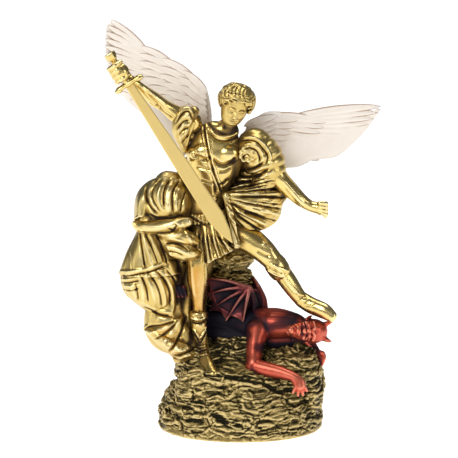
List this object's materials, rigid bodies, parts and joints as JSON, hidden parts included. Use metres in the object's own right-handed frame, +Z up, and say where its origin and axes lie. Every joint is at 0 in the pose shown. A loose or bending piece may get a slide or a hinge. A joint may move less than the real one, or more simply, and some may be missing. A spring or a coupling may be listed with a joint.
{
  "type": "archangel michael statue",
  "caption": "Painted resin figurine of a winged saint with a raised sword, draped in a billowing cloak and standing on a horned demon sprawled over a rugged rock base.",
  "frame": {"origin": "on the rock's flat underside, at the centre of the oval base", "axes": "+Z up, the figure faces -Y, +X to the right as the viewer faces it"},
  "size_m": [0.2428, 0.1312, 0.3566],
  "materials": {
    "gilded_resin": "cast resin with antique gold paint, dark wash in the recesses, copper-red demon, dry-brushed rock",
    "white_wing": "cast resin painted off-white with a pinkish beige wash in the grooves and a faint pearl",
    "pale_gold_blade": "thin flat plate, satin pale gold"
  },
  "bodies": {
    "root": {"saint_demon_and_rock": "gilded_resin", "right_wing": "white_wing", "left_wing": "white_wing", "sword_blade": "pale_gold_blade"}
  },
  "joints": []
}
